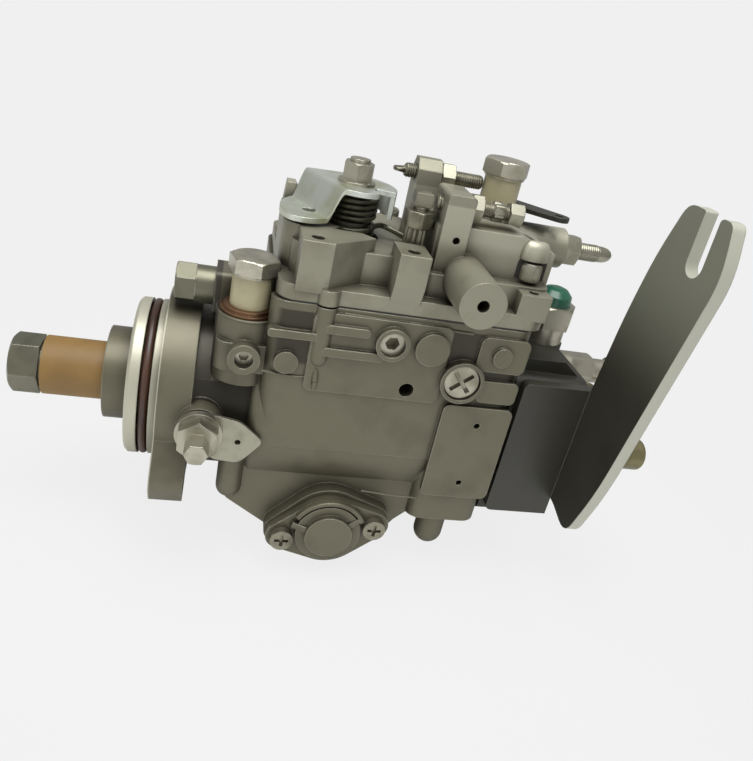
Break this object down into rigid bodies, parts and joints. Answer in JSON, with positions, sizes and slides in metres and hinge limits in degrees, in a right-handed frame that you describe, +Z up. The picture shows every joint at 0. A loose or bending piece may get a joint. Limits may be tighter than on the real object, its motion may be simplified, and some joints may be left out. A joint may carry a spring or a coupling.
{
  "type": "rotary diesel injection pump",
  "caption": "Rotary diesel injection pump: slotted flange, tapered drive shaft, mechanical governor, roller and cam drive, timing piston, outlets and a slotted rear bracket.",
  "frame": {"origin": "centre of the pilot where it meets the flange's mounting face, on the drive axis", "axes": "+X along the drive axis from the drive end to the outlets, +Z up to the governor cover, near side with the inlet at -Y"},
  "size_m": [0.2834, 0.1415, 0.183],
  "materials": {
    "cast": "cast",
    "machined_steel": "machined",
    "spring_steel": "drawn wire",
    "plated_sheet": "zinc plated",
    "dark_steel": "phosphated",
    "black_paint": "semi-gloss paint",
    "lid_metal": "cast",
    "seal_rubber": "smooth",
    "bronze": "dull",
    "copper": "dull",
    "gasket": "matt",
    "tan_sleeve": "matt",
    "cream_sleeve": "satin",
    "green_plastic": "moulded"
  },
  "bodies": {
    "pump": {"pump_housing": "cast", "governor_cover": "cast", "feed_pump_ring": "machined_steel", "feed_pump_plate": "machined_steel", "governor_shaft": "machined_steel", "lever_pin": "machined_steel", "spring_bridge": "machined_steel", "cover_bolts": "machined_steel", "timing_screws": "machined_steel", "threaded_plugs": "machined_steel", "tag_washer": "machined_steel", "lock_screw": "machined_steel", "pressure_valve": "machined_steel", "adjusting_screws": "machined_steel", "screw_locknuts": "machined_steel", "banjo_bolts": "machined_steel", "solenoid_body": "machined_steel", "outlet_holders": "machined_steel", "plunger_springs": "spring_steel", "timing_spring": "spring_steel", "return_spring": "spring_steel", "governor_spring": "spring_steel", "distributor_head": "dark_steel", "rear_bracket": "black_paint", "head_bolts": "black_paint", "timing_covers": "lid_metal", "pilot_o_ring": "seal_rubber", "shaft_seal": "seal_rubber", "shaft_bush": "bronze", "outlet_caps": "bronze", "sealing_washers": "copper", "cover_gasket": "gasket", "port_sleeves": "cream_sleeve", "solenoid_cap": "green_plastic"},
    "drive": {"drive_shaft": "machined_steel", "shaft_key": "machined_steel", "shaft_sleeve": "tan_sleeve", "shaft_nut": "dark_steel", "feed_pump_rotor": "machined_steel", "feed_pump_vanes": "machined_steel", "drive_gear": "machined_steel", "coupling_disc": "machined_steel", "cam_disc": "machined_steel", "plunger": "machined_steel"},
    "governor": {"governor_carrier": "machined_steel"},
    "weight_1": {"flyweight_1": "machined_steel"},
    "weight_2": {"flyweight_2": "machined_steel"},
    "weight_3": {"flyweight_3": "machined_steel"},
    "weight_4": {"flyweight_4": "machined_steel"},
    "sleeve": {"governor_sleeve": "machined_steel"},
    "governor_arm": {"governor_lever": "machined_steel"},
    "collar": {"control_collar": "machined_steel"},
    "timing": {"timing_piston": "machined_steel"},
    "rollers_carrier": {"roller_ring": "machined_steel", "rollers": "machined_steel"},
    "throttle": {"throttle_shaft": "machined_steel", "throttle_lever": "plated_sheet", "throttle_nut": "machined_steel"},
    "stop": {"stop_lever": "dark_steel"},
    "armature": {"solenoid_armature": "machined_steel"}
  },
  "joints": [
    {"name": "drive_spin", "type": "hinge", "parent": "pump", "child": "drive", "pos_m": [0, 0, 0], "axis": [1, 0, 0], "continuous": true},
    {"name": "governor_spin", "type": "hinge", "parent": "pump", "child": "governor", "pos_m": [0.0595, 0, 0.0375], "axis": [1, 0, 0], "continuous": true},
    {"name": "sleeve_slide", "type": "slide", "parent": "pump", "child": "sleeve", "axis": [1, 0, 0], "range_m": [0, 0.003]},
    {"name": "governor_arm_swing", "type": "hinge", "parent": "pump", "child": "governor_arm", "pos_m": [0.113, 0, 0.024], "axis": [0, 1, 0], "range_deg": [0, 15.1], "deforming": ["governor_spring"]},
    {"name": "collar_slide", "type": "slide", "parent": "pump", "child": "collar", "axis": [1, 0, 0], "range_m": [-0.0035, 0]},
    {"name": "timing_slide", "type": "slide", "parent": "pump", "child": "timing", "axis": [0, 1, 0], "range_m": [0, 0.008], "deforming": ["timing_spring"]},
    {"name": "roller_ring_turn", "type": "hinge", "parent": "pump", "child": "rollers_carrier", "pos_m": [0.076, 0, 0], "axis": [1, 0, 0], "range_deg": [0, 11]},
    {"name": "throttle_turn", "type": "hinge", "parent": "pump", "child": "throttle", "pos_m": [0.067, -0.008, 0.09], "axis": [0, 0, 1], "range_deg": [0, 40], "deforming": ["governor_spring"]},
    {"name": "stop_turn", "type": "hinge", "parent": "pump", "child": "stop", "pos_m": [0.137, 0.018, 0.09], "axis": [0, 0, 1], "range_deg": [0, 35]},
    {"name": "armature_slide", "type": "slide", "parent": "pump", "child": "armature", "axis": [0, 0, 1], "range_m": [0, 0.0015]},
    {"name": "weight_1_swing", "type": "hinge", "parent": "governor", "child": "weight_1", "pos_m": [0.0595, 0, 0.0515], "axis": [0, -1, 0], "range_deg": [0, 23]},
    {"name": "weight_2_swing", "type": "hinge", "parent": "governor", "child": "weight_2", "pos_m": [0.0595, -0.014, 0.0375], "axis": [0, 0, -1], "range_deg": [0, 23]},
    {"name": "weight_3_swing", "type": "hinge", "parent": "governor", "child": "weight_3", "pos_m": [0.0595, 0, 0.0235], "axis": [0, 1, 0], "range_deg": [0, 23]},
    {"name": "weight_4_swing", "type": "hinge", "parent": "governor", "child": "weight_4", "pos_m": [0.0595, 0.014, 0.0375], "axis": [0, 0, 1], "range_deg": [0, 23]}
  ],
  "couplings": [
    {"joint": "governor_spin", "follows": "drive_spin", "ratio": -1.5},
    {"joint": "governor_arm_swing", "follows": "sleeve_slide", "rad_per_m": 87.4},
    {"joint": "collar_slide", "follows": "sleeve_slide", "ratio": -1.1666},
    {"joint": "roller_ring_turn", "follows": "timing_slide", "rad_per_m": 23.81},
    {"joint": "weight_1_swing", "follows": "sleeve_slide", "rad_per_m": 133.5},
    {"joint": "weight_2_swing", "follows": "sleeve_slide", "rad_per_m": 133.5},
    {"joint": "weight_3_swing", "follows": "sleeve_slide", "rad_per_m": 133.5},
    {"joint": "weight_4_swing", "follows": "sleeve_slide", "rad_per_m": 133.5}
  ]
}
